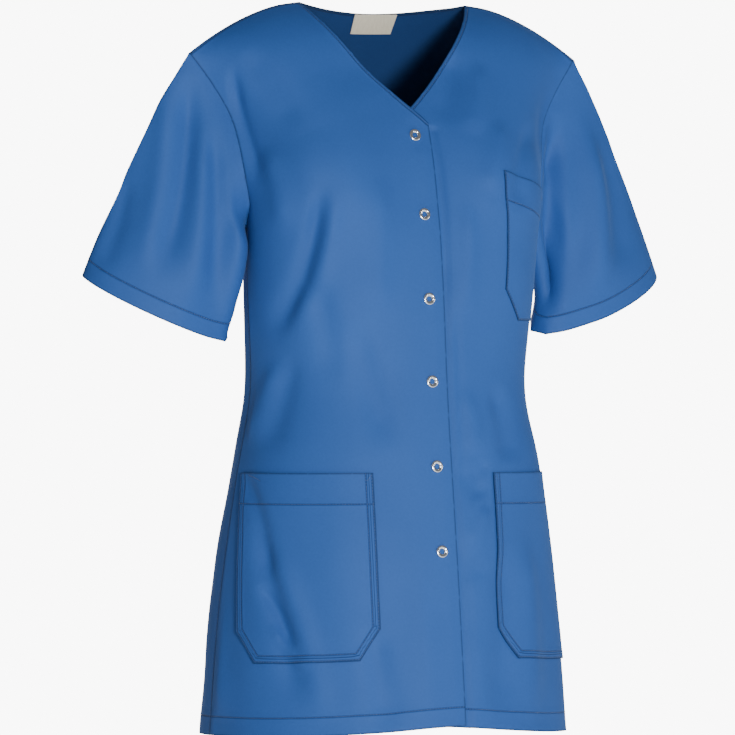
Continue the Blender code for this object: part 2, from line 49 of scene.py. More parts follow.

# %% [markdown]
# The camera stands level with the middle of the tunic, 8 m away and 25 degrees round to its right side.
# Such a long lens keeps the two sides of the garment nearly the same size, as on a studio picture of
# clothing. Where a fold or mark is placed, its place is given as the camera sees it: `view_across`
# runs to the right along the picture and z is the height.

# %% The camera
TURN = math.radians(-25)
DISTANCE = 8.0
MIDDLE_ACROSS = -0.0172
MIDDLE_HEIGHT = -0.3786
PICTURE_WIDTH = 0.7644
right = Vector((math.cos(TURN), math.sin(TURN), 0))
back = Vector((math.sin(TURN), -math.cos(TURN), 0))
stand = right * MIDDLE_ACROSS + Vector((0, 0, MIDDLE_HEIGHT)) + back * DISTANCE
bpy.ops.object.select_all(action="DESELECT")
bpy.ops.object.camera_add(location=stand, rotation=(math.pi / 2, 0, TURN))
camera = bpy.context.object
camera.data.sensor_width = 36
camera.data.lens = camera.data.sensor_width * DISTANCE / PICTURE_WIDTH
camera.data.clip_end = 60
bpy.context.scene.camera = camera
print("lens", round(camera.data.lens, 1), "mm")

# %% [markdown]
# Studio light: one lamp stands in front, a little to the right of the camera and level with the waist.
# Cloth that turns away from it grows dark, which shows the folds and the round sides. The room looks
# bright behind the tunic, but a weaker value is what it adds to the cloth. Lamps at the sides and behind
# light the other views. The floor is a plain pale disc, well below the hem, because the tunic hangs as if
# worn.

# %% The room, the lamps and the floor
world = bpy.data.worlds.new("pale room")
world.use_nodes = True
ROOM_LIGHT = 0.17         # what the room adds to the cloth
ROOM_SEEN = 9.0           # how bright its far wall looks
room = world.node_tree
background = room.nodes["Background"]
background.inputs["Color"].default_value = (1.0, 1.0, 1.0, 1)
ray = room.nodes.new("ShaderNodeLightPath")
brightness = room.nodes.new("ShaderNodeMapRange")
brightness.inputs["To Min"].default_value = ROOM_LIGHT
brightness.inputs["To Max"].default_value = ROOM_SEEN
room.links.new(ray.outputs["Is Camera Ray"], brightness.inputs["Value"])
room.links.new(brightness.outputs["Result"], background.inputs["Strength"])
bpy.context.scene.world = world


def lamp(name, place, target, size, power):
    """A square lamp at `place` that faces `target`."""
    facing = (Vector(place) - Vector(target)).to_track_quat("Z", "Y").to_euler()
    bpy.ops.object.light_add(type="AREA", location=place, rotation=facing)
    made = bpy.context.object
    made.name = name
    made.data.size = size
    made.data.energy = power
    return made


WAIST = (0, 0, -0.42)
lamp("key lamp", (-0.45, -3.1, -0.40), WAIST, 0.6, 86)
lamp("left lamp", (-3.2, -0.3, 0.3), WAIST, 1.0, 5)
lamp("right lamp", (2.6, -2.0, -0.3), WAIST, 0.8, 15)
lamp("back lamp", (0.8, 3.1, 0.4), WAIST, 1.0, 75)


def new_material(name, **values):
    """A material, and its shader with these values: Base_Color=... sets the socket Base Color."""
    material = bpy.data.materials.new(name)
    material.use_nodes = True
    shader = material.node_tree.nodes["Principled BSDF"]
    for socket, value in values.items():
        shader.inputs[socket.replace("_", " ")].default_value = value
    return material, shader


FLOOR_PLACE = (0, 0, -1.3)
FLOOR_RADIUS = 7.5
bpy.ops.mesh.primitive_circle_add(vertices=96, radius=FLOOR_RADIUS, fill_type="NGON", location=FLOOR_PLACE)
floor = bpy.context.object
floor.name = "floor"
floor_paint, _ = new_material("floor_paint", Base_Color=(0.90, 0.90, 0.89, 1), Roughness=0.9,
                              Emission_Color=(1.0, 1.0, 0.99, 1), Emission_Strength=0.30)
floor.data.materials.append(floor_paint)
print("four lamps and a floor")

# %% [markdown]
# A panel starts as a copy of its solid. The copy's loose triangles are merged, the narrow rim between
# its two faces is taken away, and the outer face is kept. Triangles become four-sided faces and a
# subdivision surface makes them a few millimetres wide, fine enough for creases. Doing it this way keeps
# every seam close to where its neighbour expects it.

# %% Helpers to pick pieces and to take a panel's outer face
RIM_WIDTH = 0.0019        # a rim edge is as long as the cloth is thick, and all others are longer
SAME_PLACE = 0.00002      # points closer than this are merged
FRONTWARD = np.array((0, -1, 0))
BACKWARD = np.array((0, 1, 0))


def pick(*things):
    """Select these objects alone, and make the first one active."""
    bpy.ops.object.select_all(action="DESELECT")
    for thing in things:
        thing.select_set(True)
    bpy.context.view_layer.objects.active = things[0]


def edit(piece, *steps):
    """Select the whole mesh of a piece, then take these editing steps on it."""
    pick(piece)
    bpy.ops.object.mode_set(mode="EDIT")
    bpy.ops.mesh.select_all(action="SELECT")
    for step, values in steps:
        step(**values)
    bpy.ops.object.mode_set(mode="OBJECT")


def places(piece, kind="co"):
    """The places of a piece's points as an array, or another vector that each point has."""
    flat = np.empty(len(piece.data.vertices) * 3)
    piece.data.vertices.foreach_get(kind, flat)
    return flat.reshape(-1, 3)


def directions(piece):
    """The direction square to the surface at each of its points."""
    return places(piece, "normal")


def move_points(piece, new_places):
    piece.data.vertices.foreach_set("co", new_places.ravel())
    piece.data.update()


def area_of(piece):
    return sum(face.area for face in piece.data.polygons)


def edge_uses(piece):
    """How many faces use each edge, by the edge's two points."""
    counts = {}
    for face in piece.data.polygons:
        for key in face.edge_keys:
            counts[key] = counts.get(key, 0) + 1
    return counts


def outer_face(node_name, name, facing=None):
    """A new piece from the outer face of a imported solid; without `facing`, its larger face."""
    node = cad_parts[node_name]
    mesh = node.data.copy()
    piece = bpy.data.objects.new(name, mesh)
    bpy.context.scene.collection.objects.link(piece)
    edit(piece, (bpy.ops.mesh.remove_doubles, {"threshold": SAME_PLACE}),
         (bpy.ops.mesh.select_mode, {"type": "FACE"}), (bpy.ops.mesh.select_all, {"action": "DESELECT"}))
    points = places(piece)
    short = set()
    for edge in mesh.edges:
        a, b = edge.vertices
        if np.linalg.norm(points[a] - points[b]) < RIM_WIDTH:
            short.add(tuple(sorted((a, b))))
    for face in mesh.polygons:
        if any(tuple(sorted(key)) in short for key in face.edge_keys):
            face.select = True
    bpy.ops.object.mode_set(mode="EDIT")
    bpy.ops.mesh.delete(type="ONLY_FACE")
    bpy.ops.mesh.select_all(action="SELECT")
    bpy.ops.mesh.delete_loose(use_verts=True, use_edges=True, use_faces=False)
    bpy.ops.mesh.select_all(action="SELECT")
    bpy.ops.mesh.separate(type="LOOSE")
    bpy.ops.object.mode_set(mode="OBJECT")
    best, best_score = None, None
    parts = list(bpy.context.selected_objects)
    for part in parts:
        score = area_of(part)
        if facing is not None:
            score = sum(np.dot(face.normal, facing) * face.area for face in part.data.polygons)
        if best is None or score > best_score:
            best, best_score = part, score
    for part in parts:
        if part is not best:
            bpy.data.objects.remove(part)
    best.name = name
    best.data.name = name
    best.data.materials.clear()
    print(name, "from", node_name, "in", len(parts), "faces,", round(area_of(best), 4), "m2")
    return best


CORNER_TURN = math.radians(24)


def keep_corners(piece):
    """Mark the points where an open edge turns a corner, so that smoothing leaves them sharp."""
    beside = {}
    for (a, b), count in edge_uses(piece).items():
        if count == 1:
            beside.setdefault(a, []).append(b)
            beside.setdefault(b, []).append(a)
    points = places(piece)
    sharp = np.zeros(len(points), np.float32)
    for corner, ends in beside.items():
        before, after = points[corner] - points[ends[0]], points[ends[1]] - points[corner]
        turn = np.dot(before, after) / (np.linalg.norm(before) * np.linalg.norm(after))
        if turn < math.cos(CORNER_TURN):
            sharp[corner] = 1
    piece.data.attributes.new(name="crease_vert", type="FLOAT", domain="POINT")
    piece.data.attributes["crease_vert"].data.foreach_set("value", sharp)
    print(piece.name, "keeps", int(sharp.sum()), "corners")


def make_finer(piece, levels):
    """Join triangles into four-sided faces and smooth them into a fine surface that keeps its corners."""
    any_angle = {"face_threshold": math.pi, "shape_threshold": math.pi}
    edit(piece, (bpy.ops.mesh.tris_convert_to_quads, any_angle))
    keep_corners(piece)
    finer = piece.modifiers.new("finer", "SUBSURF")
    finer.levels = levels
    finer.render_levels = levels
    finer.boundary_smooth = "PRESERVE_CORNERS"
    bpy.ops.object.modifier_apply(modifier="finer")


# %% The five panels
PANEL_SOURCES = {
    "front_right": FRONTWARD,
    "front_left": FRONTWARD,
    "back": BACKWARD,
    "sleeve_right": None,
    "sleeve_left": None,
}
PANEL_LEVELS = 3
PATCH_LEVELS = 4
panels = {}
for source, facing in PANEL_SOURCES.items():
    panels[source] = outer_face(source, source + "_cloth", facing)
    make_finer(panels[source], PANEL_LEVELS)
    print(panels[source].name, len(panels[source].data.polygons), "faces")

# %% The pockets and the label
patches = {}
for source in ("pocket_hip_right", "pocket_hip_left", "pocket_chest", "label"):
    patches[source] = outer_face(source, source + "_cloth", FRONTWARD)
    make_finer(patches[source], PATCH_LEVELS)
    print(patches[source].name, len(patches[source].data.polygons), "faces")

# %% [markdown]
# Sewing is measured from the edges: a hem is stitched 20 mm up, a neckline 3 mm in. The next helpers
# do the same. They collect the open edges of a panel, measure how far each point of the
# cloth lies from them, and later draw a stitch row where that distance has one value.

# %% Helpers that measure from an edge
EDGE_SAMPLE = 0.0012      # spacing of the measuring points along an edge


def open_edges(piece):
    """Ends of every edge that only one face uses, as pairs of places."""
    points = places(piece)
    return [(points[a], points[b]) for (a, b), count in edge_uses(piece).items() if count == 1]


def edges_where(piece, rule):
    """The open edges whose middle and direction pass the rule."""
    kept = []
    for start, end in open_edges(piece):
        if rule((start + end) / 2, end - start):
            kept.append((start, end))
    return kept


def tree_of(spots):
    """A tree that finds the nearest of these places."""
    tree = KDTree(len(spots))
    for number, spot in enumerate(spots):
        tree.insert(spot, number)
    tree.balance()
    return tree


def distance_from(points, edges):
    """How far each point lies from the nearest of these edges."""
    samples = []
    for start, end in edges:
        count = max(1, math.ceil(np.linalg.norm(end - start) / EDGE_SAMPLE))
        for i in range(count):
            samples.append(start + (end - start) * i / count)
    tree = tree_of(samples)
    return np.array([tree.find(point)[2] for point in points])


def soft_step(x):
    x = np.clip(x, 0, 1)
    return x * x * (3 - 2 * x)


# %% Which open edge is which
HEM_HEIGHT = -0.757
UNDERARM_HEIGHT = -0.236
NECK_HALF_WIDTH = 0.095
SHOULDER_TIP_HEIGHT = -0.055
FRONT_CORNER_HEIGHT = -0.1265
SLEEVE_SPLIT = -0.262     # a sleeve's open edges above this are its armhole, and those below its cuff
HEM_REACH = 0.022         # how far above that height an edge can still be the hem
ARMHOLE_HALF_WIDTH = 0.14
SIDE_HALF_WIDTH = 0.12
HIP_MOUTHS = (-0.495, -0.45)    # the mouths of the hip pockets lie between these heights
CHEST_MOUTH = -0.21       # and the chest pocket's mouth above this one


def lies_across(direction):
    """True where an edge runs more across than up."""
    return abs(direction[2]) < 0.6 * math.hypot(direction[0], direction[1])


RULES = {
    "hem": lambda p, d: p[2] < HEM_HEIGHT + HEM_REACH and lies_across(d),
    "cuff": lambda p, d: p[2] < SLEEVE_SPLIT,
    "neck": lambda p, d: p[2] > FRONT_CORNER_HEIGHT and abs(p[0]) < NECK_HALF_WIDTH,
    "shoulder": lambda p, d: p[2] > SHOULDER_TIP_HEIGHT and abs(p[0]) > NECK_HALF_WIDTH,
    "armhole": lambda p, d: UNDERARM_HEIGHT < p[2] < SHOULDER_TIP_HEIGHT and abs(p[0]) > ARMHOLE_HALF_WIDTH,
    "side": lambda p, d: p[2] < UNDERARM_HEIGHT and abs(p[0]) > SIDE_HALF_WIDTH and not lies_across(d),
    "mouth": lambda p, d: (abs(d[2]) < 0.5 * abs(d[0])
                           and (HIP_MOUTHS[0] < p[2] < HIP_MOUTHS[1] or p[2] > CHEST_MOUTH)),
}
RULES["pocket sides"] = lambda p, d: not RULES["mouth"](p, d)
RULES["sleeve armhole"] = lambda p, d: p[2] > SLEEVE_SPLIT
cloths = {**panels, **{name: patches[name] for name in patches if name != "label"}}
seams = {}
for source, piece in panels.items():
    seam_names = ("sleeve armhole",) if source.startswith("sleeve") else ("shoulder", "armhole", "side")
    seams[source] = [edge for name in seam_names for edge in edges_where(piece, RULES[name])]
    print(source, "has", len(seams[source]), "open edges at its seams")

# %% [markdown]
# Folds are what make flat panels read as cloth. Each one is placed as a soft trough or ridge
# along a curve: the worn tunic hangs from the shoulders, so folds fall from the chest, gather a little
# beside the pockets and the snaps, and open towards the hem. They differ in length, bend and depth.
# A fold on the fronts and sleeves is given in the picture's own directions, across and height, and in
# millimetres.

# %% Helpers that press a fold
CURVE_STEPS = 10
END_SOFTNESS = 0.28       # part of a fold's length over which it fades at either end


def view_across(points):
    """Distance to the right in the picture, for each point."""
    return points[:, 0] * math.cos(TURN) + points[:, 1] * math.sin(TURN)


def fold_depth(across, height, fold):
    """How far one fold moves each point outwards: a curve, its half width and its signed depth."""
    x_top, z_top, x_foot, z_foot, bow, half_width, depth = [value / 1000 for value in fold]
    length = math.hypot(x_foot - x_top, z_foot - z_top)
    side_x, side_z = (z_top - z_foot) / length, (x_foot - x_top) / length
    steps = np.linspace(0, 1, CURVE_STEPS + 1)
    swing = bow * np.sin(math.pi * steps)
    curve_x = x_top + (x_foot - x_top) * steps + side_x * swing
    curve_z = z_top + (z_foot - z_top) * steps + side_z * swing
    nearest = np.full(len(across), 1e9)
    share = np.zeros(len(across))
    for i in range(CURVE_STEPS):
        run_x, run_z = curve_x[i + 1] - curve_x[i], curve_z[i + 1] - curve_z[i]
        part = ((across - curve_x[i]) * run_x + (height - curve_z[i]) * run_z) / (run_x ** 2 + run_z ** 2)
        part = np.clip(part, 0, 1)
        gap = np.hypot(across - curve_x[i] - part * run_x, height - curve_z[i] - part * run_z)
        closer = gap < nearest
        nearest = np.where(closer, gap, nearest)
        share = np.where(closer, (i + part) / CURVE_STEPS, share)
    ends = soft_step((share + 0.02) / END_SOFTNESS) * soft_step((1.02 - share) / END_SOFTNESS)
    width = half_width * (0.75 + 0.5 * share)
    return depth * ends * np.exp(-(nearest / width) ** 2)


def press(points, across, folds):
    """The sum of all folds at each point."""
    total = np.zeros(len(points))
    for fold in folds:
        total += fold_depth(across, points[:, 2], fold)
    return total


# %% The folds of the right front and right sleeve, as the picture shows them
# each row: x_top, z_top, x_foot, z_foot, bow, half width and depth, in millimetres
RIGHT_FRONT_FOLDS = [
    (-64, -193, -118, -352, 10, 10, -4),
    (-50, -188, -100, -352, 12, 11, 2.6),
    (-146, -52, -90, -136, 4, 15, -2),
    (-155, -65, -124, -190, -8, 8, -3),
    (-122, -150, -104, -245, 4, 12, 2.2),
    (-110, -370, -142, -458, 3, 11, 2.4),
    (-92, -362, -124, -468, 4, 12, -1.8),
    (-139, -536, -87, -725, 6, 13, -3.6),
    (-118, -560, -60, -748, 6, 14, 2.6),
    (-30, -330, 12, -462, -6, 16, -2.2),
    (-6, -180, -12, -330, 8, 18, 2),
    (30, -100, 40, -215, 6, 14, 1.6),
    (-176, -600, -166, -745, -4, 12, 3),
    (-10, -640, 10, -750, -4, 15, -2.4),
    (34, -590, 44, -748, 3, 13, 2),
    (-85, -270, -52, -395, 8, 14, -1.8),
    (-131, -600, -94, -668, 4, 7, -2.2),
    (-118, -640, -76, -690, -3, 6, 1.6),
    (-147, -480, -120, -600, 6, 9, -2.6),
]
RIGHT_SLEEVE_FOLDS = [
    (-200, -76, -230, -290, 10, 12, -4.6),
    (-222, -80, -252, -292, 6, 13, 2.6),
    (-176, -130, -180, -300, 6, 10, -2.6),
    (-190, -120, -196, -315, 4, 12, 2.2),
    (-262, -180, -292, -284, 3, 10, -2),
    (-158, -190, -166, -320, 2, 8, 2),
    (-153, -215, -157, -352, 0, 10, 6.8),
]

# %% The folds of the left front and left sleeve
LEFT_FRONT_FOLDS = [
    (70, -48, 50, -125, 6, 13, -2.2),
    (98, -60, 90, -140, 4, 12, 1.8),
    (62, -255, 66, -372, -4, 13, -2.6),
    (84, -205, 78, -330, 6, 10, 2),
    (74, -484, 100, -515, 3, 10, -2.2),
    (71, -560, 94, -600, 4, 10, -1.8),
    (78, -400, 92, -470, 4, 11, 2),
    (112, -395, 130, -480, 3, 10, -3),
    (122, -560, 118, -740, 6, 14, -3.4),
    (142, -550, 150, -745, 4, 12, 3),
    (92, -640, 92, -752, -4, 12, 2.4),
    (154, -120, 140, -220, -4, 9, -2.6),
    (118, -120, 110, -200, 4, 12, 1.8),
    (72.5, -300, 80, -560, 2, 5, -2),
    (80, -540, 92, -745, 2, 5, -2.2),
    (56, -140, 68, -320, 2, 5, -1.6),
    (104, -520, 86, -560, 4, 7, 1.8),
    (106, -475, 88, -490, 3, 6, -1.4),
]
LEFT_SLEEVE_FOLDS = [
    (208, -105, 222, -300, 8, 10, 2.2),
    (192, -100, 200, -305, 6, 11, -2.2),
    (176, -150, 182, -315, 4, 9, 2.2),
    (232, -140, 254, -280, 4, 11, -2.4),
    (166, -200, 162, -325, 3, 8, -2.2),
    (182, -110, 169, -330, 4, 12, -13),
    (214, -130, 228, -310, 6, 12, 3),
]

# %% The folds of the back, given from behind by x and height, and its own sides
BACK_PANEL_FOLDS = [
    (-30, -110, -105, -300, 12, 16, -3),
    (45, -120, 112, -290, -12, 16, -2.8),
    (-135, -100, -118, -240, 6, 12, 3),
    (140, -105, 126, -255, -6, 12, 2.8),
    (-60, -330, -118, -470, 10, 14, 3.2),
    (70, -345, 124, -480, -8, 14, 3),
    (-90, -390, -40, -520, 6, 14, -3),
    (95, -400, 50, -540, -6, 14, -3),
    (-10, -300, 12, -470, 6, 18, 2.2),
    (-140, -520, -150, -750, 6, 15, -4),
    (-100, -560, -110, -755, 4, 16, 3.6),
    (-30, -540, -36, -755, 5, 16, -3.6),
    (30, -570, 40, -755, -4, 17, 3.6),
    (98, -580, 120, -755, 5, 16, -3.4),
    (150, -540, 160, -750, -4, 14, 3.6),
    (0, -60, 4, -180, 6, 20, -1.8),
]
print(len(RIGHT_FRONT_FOLDS) + len(LEFT_FRONT_FOLDS), "folds on the fronts")

# %% [markdown]
# Folds have to leave alone what is fixed: seams are shared with a neighbour, and a snap clamps both
# layers flat. So every fold fades out there. Close to a stitched row the thread also draws the cloth
# into small uneven puckers, which a smooth noise gives.

# %% Helpers for the places that folds leave alone, and for long low waves
SNAP_HEIGHTS = [-0.139, -0.221, -0.308, -0.393, -0.480, -0.567]
SNAP_CALM = 0.014         # folds are gone this close to a snap
SEAM_CALM = 0.016         # and grow to full depth this far from a seam
SLEEVE_CALM = 0.009       # a sleeve puckers closer to its seam
CLOSING_HALF_WIDTH = 0.026
CLOSING_FADE = 0.03
CLOSING_SHARE = 0.35      # of a fold's depth that the closing keeps


def snap_calm(points):
    """0 at every snap, 1 well away from them."""
    calm = np.ones(len(points))
    for height in SNAP_HEIGHTS:
        gap = np.hypot(points[:, 0], points[:, 2] - height)
        gap = np.where(points[:, 1] < -0.02, gap, 1)
        calm *= soft_step((gap - SNAP_CALM * 0.55) / SNAP_CALM)
    return calm


def closing_calm(points):
    """The two layers of the closing lie flat on each other, so folds are gentle there."""
    beside = soft_step((np.abs(points[:, 0]) - CLOSING_HALF_WIDTH) / CLOSING_FADE)
    return CLOSING_SHARE + (1 - CLOSING_SHARE) * beside


def waver(points, length, shift):
    """Smooth uneven noise from -1 to 1 with this wave length."""
    start = Vector((shift, shift * 2, 0))
    return np.array([noise.noise(Vector(point) / length + start) for point in points])


# %% The folds go into the panels and pockets
FOLDS_OF = {
    "front_right": RIGHT_FRONT_FOLDS,
    "front_left": LEFT_FRONT_FOLDS,
    "back": BACK_PANEL_FOLDS,
    "sleeve_right": RIGHT_SLEEVE_FOLDS,
    "sleeve_left": LEFT_SLEEVE_FOLDS,
    "pocket_hip_right": RIGHT_FRONT_FOLDS,
    "pocket_hip_left": LEFT_FRONT_FOLDS,
    "pocket_chest": LEFT_FRONT_FOLDS,
}
LIES_ON = {
    "pocket_hip_right": "front_right",
    "pocket_hip_left": "front_left",
    "pocket_chest": "front_left",
    "label": "back",
}
SLOW_WAVE = 0.060         # long low waves all over
SLOW_DEPTH = 0.0011
SLOW_START = 3.0
EDGE_SINK_FROM = 0.0085   # past the rings, the free front edge leans on the layer under it
EDGE_SINK_WIDTH = 0.009
EDGE_SINK = 0.0013
EDGE_SHADE_AT = 0.0215    # a shallow dip in the lower front just past that edge
EDGE_SHADE_WIDTH = 0.0045
EDGE_SHADE_DEPTH = 0.0030
BACK_STRENGTH = 1.35
FOLD_STRENGTH = 1.7       # all folds together, set against the picture
HIDDEN_EASE = 0.3         # folds on the far side of a sleeve are a little softer


def seam_calm(points, source):
    """0 on a seam that a neighbour shares, 1 well inside."""
    carrier = LIES_ON.get(source, source)
    reach = SLEEVE_CALM if source.startswith("sleeve") else SEAM_CALM
    return soft_step(distance_from(points, seams[carrier]) / reach)


for source, piece in cloths.items():
    points = places(piece)
    across = points[:, 0] if source == "back" else view_across(points)
    depth = FOLD_STRENGTH * press(points, across, FOLDS_OF[source])
    if source.startswith("sleeve"):
        hidden = soft_step(-2 * (directions(piece) @ np.array(back)))
        depth *= 1 - HIDDEN_EASE * hidden
    depth += SLOW_DEPTH * waver(points, SLOW_WAVE, SLOW_START)
    depth *= seam_calm(points, source) * snap_calm(points)
    if not source.startswith(("back", "sleeve")):
        depth *= closing_calm(points)
    if source == "front_right":
        past_snaps = soft_step((points[:, 0] - EDGE_SINK_FROM) / EDGE_SINK_WIDTH)
        depth -= EDGE_SINK * past_snaps * (points[:, 2] < FRONT_CORNER_HEIGHT + 0.02)
    if source == "front_left":
        beside_edge = (points[:, 0] - EDGE_SHADE_AT) / EDGE_SHADE_WIDTH
        below_corner = points[:, 2] < FRONT_CORNER_HEIGHT - 0.004
        depth -= EDGE_SHADE_DEPTH * np.exp(-beside_edge ** 2) * below_corner
    if source == "back":
        depth *= BACK_STRENGTH
    move_points(piece, points + directions(piece) * depth[:, None])
    print(source, "moved by", round(1000 * depth.min(), 1), "to", round(1000 * depth.max(), 1), "mm")

# %% [markdown]
# A seam has an allowance: one panel's edge runs on under its neighbour's, where it is stitched. Without
# it, light would shine through the narrow gap between two panels. The open edge of each sleeve, and of
# each front at the side, is extruded, and its new points are laid under the neighbour's edge.

# %% Seam allowances of the sleeves and the sides
ALLOWANCE_DEPTH = 0.0017
ALLOWANCE_WIDTH = 0.0034


def add_allowance(piece, neighbours, own_edge, their_edge):
    """Extrude one edge of a piece and lay the new edge inside the neighbours' edges."""
    ring = edges_where(piece, own_edge)
    points = places(piece)
    normals = directions(piece)
    tree = tree_of(points)
    samples = []
    for neighbour in neighbours:
        for start, end in edges_where(neighbour, their_edge):
            samples += [start, (start + end) / 2]
    near = tree_of(samples)
    on_ring = {tree.find(point)[1] for pair in ring for point in pair}
    edit(piece, (bpy.ops.mesh.select_mode, {"type": "EDGE"}),
         (bpy.ops.mesh.select_all, {"action": "DESELECT"}))
    counts = edge_uses(piece)
    for edge in piece.data.edges:
        key = tuple(sorted(edge.vertices))
        edge.select = counts[key] == 1 and key[0] in on_ring and key[1] in on_ring
    before = len(piece.data.vertices)
    bpy.ops.object.mode_set(mode="EDIT")
    bpy.ops.mesh.extrude_edges_move()
    bpy.ops.object.mode_set(mode="OBJECT")
    moved = places(piece)
    for number in range(before, len(moved)):
        source = tree.find(moved[number])[1]
        towards = np.array(near.find(moved[number])[0]) - moved[number]
        towards /= max(np.linalg.norm(towards), 1e-6)
        moved[number] += towards * ALLOWANCE_WIDTH - normals[source] * ALLOWANCE_DEPTH
    move_points(piece, moved)
    edit(piece, (bpy.ops.mesh.normals_make_consistent, {"inside": False}),
         (bpy.ops.mesh.select_mode, {"type": "FACE"}))
    print(piece.name, "allowance of", len(moved) - before, "points")


for hand in ("right", "left"):
    front, sleeve = panels["front_" + hand], panels["sleeve_" + hand]
    add_allowance(sleeve, (front, panels["back"]), RULES["sleeve armhole"], RULES["armhole"])
    add_allowance(front, (panels["back"],), RULES["side"], RULES["side"])

# %% [markdown]
# The chest pocket's mouth falls towards the side, because the worn front turns there. Its upper part is
# drawn down step by step towards the side seam and laid on the front again.

# %% The slanting mouth of the chest pocket
MOUTH_FALL = 0.0125
POCKET_LIFT = 0.0012


def surface_of(piece):
    """A search tree of a piece's surface."""
    return BVHTree.FromPolygons([v.co for v in piece.data.vertices],
                                [face.vertices for face in piece.data.polygons])


chest_pocket = patches["pocket_chest"]
front_surface = surface_of(panels["front_left"])
points = places(chest_pocket)
low, high = points.min(axis=0), points.max(axis=0)
to_side = (points[:, 0] - low[0]) / (high[0] - low[0])
to_top = (points[:, 2] - low[2]) / (high[2] - low[2])
lowered = points.copy()
lowered[:, 2] -= MOUTH_FALL * to_side ** 1.2 * soft_step(to_top)
heights = []
for number, point in enumerate(lowered):
    spot, normal, _, _ = front_surface.find_nearest(Vector(point))
    outwards = normal if normal.y < 0 else -normal
    lowered[number] = np.array(spot + outwards * POCKET_LIFT)
    heights.append((Vector(point) - spot).length)
move_points(chest_pocket, lowered)
print("chest pocket laid again, at most", round(1000 * max(heights), 1), "mm from where it was")

# %% [markdown]
# Woven cloth has direction, so each panel gets its own map: across the cloth by angle round an axis,
# and along that axis, both in metres. The weave in the material then keeps its size on every panel.

# %% Maps for the weave
ROUND_RADIUS = 0.150      # from the upright axis, where an angle becomes a width of cloth
SLEEVE_RADIUS = 0.062


def lay_map(piece, centre, axis, facing, radius):
    """A map in metres: angle round an axis times a radius, and the distance along the axis."""
    axis = np.array(axis, float) / np.linalg.norm(axis)
    facing = np.array(facing, float)
    facing = facing - axis * (facing @ axis)
    facing /= np.linalg.norm(facing)
    side = np.cross(axis, facing)
    offset = places(piece) - np.array(centre, float)
    angle = np.arctan2(offset @ side, offset @ facing)
    along = offset @ axis
    weave = piece.data.uv_layers.new(name="weave")
    for face in piece.data.polygons:
        turns = angle[list(face.vertices)]
        if turns.max() - turns.min() > math.pi:
            turns = np.where(turns < 0, turns + 2 * math.pi, turns)
        for loop, vertex, turn in zip(face.loop_indices, face.vertices, turns):
            weave.data[loop].uv = (turn * radius, along[vertex])


for source, piece in {**cloths, "label": patches["label"]}.items():
    if source.startswith("sleeve"):
        side = -1 if source.endswith("right") else 1
        lay_map(piece, (side * 0.18, 0.01, -0.15), (-side * 0.45, 0, 1), (side, 0, 0), SLEEVE_RADIUS)
    else:
        facing = BACKWARD if source in ("back", "label") else FRONTWARD
        lay_map(piece, (0, 0, 0), (0, 0, 1), facing, ROUND_RADIUS)
print("maps laid on", len(cloths) + 1, "pieces")

# %% [markdown]
# Stitch rows of dark blue thread lie 3 mm in from the neckline, 2 mm beside the seams, 20 mm up from the
# hem and 18 mm from the cuff. Two rows go round a hip pocket and one round the chest pocket. A row's path
# is where the measured distance from the edge has one value, followed from face to face over the creased
# cloth, so the stitches always lie on the surface.

# %% A helper that follows one distance over the cloth
STITCH_LIFT = 0.00012


def row_paths(piece, distance, value):
    """Chains of places and directions where the distance field passes the value."""
    points, normals = places(piece), directions(piece)
    crossing, links = {}, {}
    for face in piece.data.polygons:
        ends = []
        for a, b in face.edge_keys:
            low, high = distance[a] - value, distance[b] - value
            if (low < 0) != (high < 0):
                t = low / (low - high)
                place = points[a] + (points[b] - points[a]) * t
                crossing[a, b] = (place, normals[a] + (normals[b] - normals[a]) * t)
                ends.append((a, b))
        if len(ends) == 2:
            links.setdefault(ends[0], []).append(ends[1])
            links.setdefault(ends[1], []).append(ends[0])
    chains = []
    unused = set(links)
    while unused:
        loose = [key for key in unused if len(links[key]) == 1]
        key = min(loose or unused)
        chain = []
        while key is not None:
            chain.append(crossing[key])
            unused.discard(key)
            onward = [other for other in links[key] if other in unused]
            key = onward[0] if onward else None
        if len(chain) > 4:
            chains.append(chain)
    return chains


# %% One stitch, modelled once
STITCH_LENGTH = 0.0024
STITCH_PITCH = 0.0031
THREAD_RADIUS = 0.00028
bpy.ops.object.select_all(action="DESELECT")
bpy.ops.mesh.primitive_cylinder_add(vertices=6, radius=1, depth=2, rotation=(0, math.pi / 2, 0))
stitch = bpy.context.object
bpy.ops.object.transform_apply(location=True, rotation=True, scale=True)
edit(stitch, (bpy.ops.mesh.subdivide, {"number_cuts": 1}))
shape = places(stitch)
pinch = 1 - 0.55 * np.abs(shape[:, 0]) ** 3
shape[:, 1] *= pinch
shape[:, 2] = shape[:, 2] * pinch - 0.6 * np.abs(shape[:, 0]) ** 2
move_points(stitch, shape)
stitch_shape = places(stitch)
stitch_faces = [list(face.vertices) for face in stitch.data.polygons]
bpy.data.objects.remove(stitch)
print("one stitch has", len(stitch_faces), "faces")


# %% A helper that sews rows as one object
def new_piece(name, corners, faces):
    """A piece from its corners and faces, with all faces turned outwards."""
    mesh = bpy.data.meshes.new(name)
    mesh.from_pydata([tuple(corner) for corner in corners], [], faces)
    mesh.update()
    made = bpy.data.objects.new(name, mesh)
    bpy.context.scene.collection.objects.link(made)
    edit(made, (bpy.ops.mesh.normals_make_consistent, {"inside": False}))
    return made


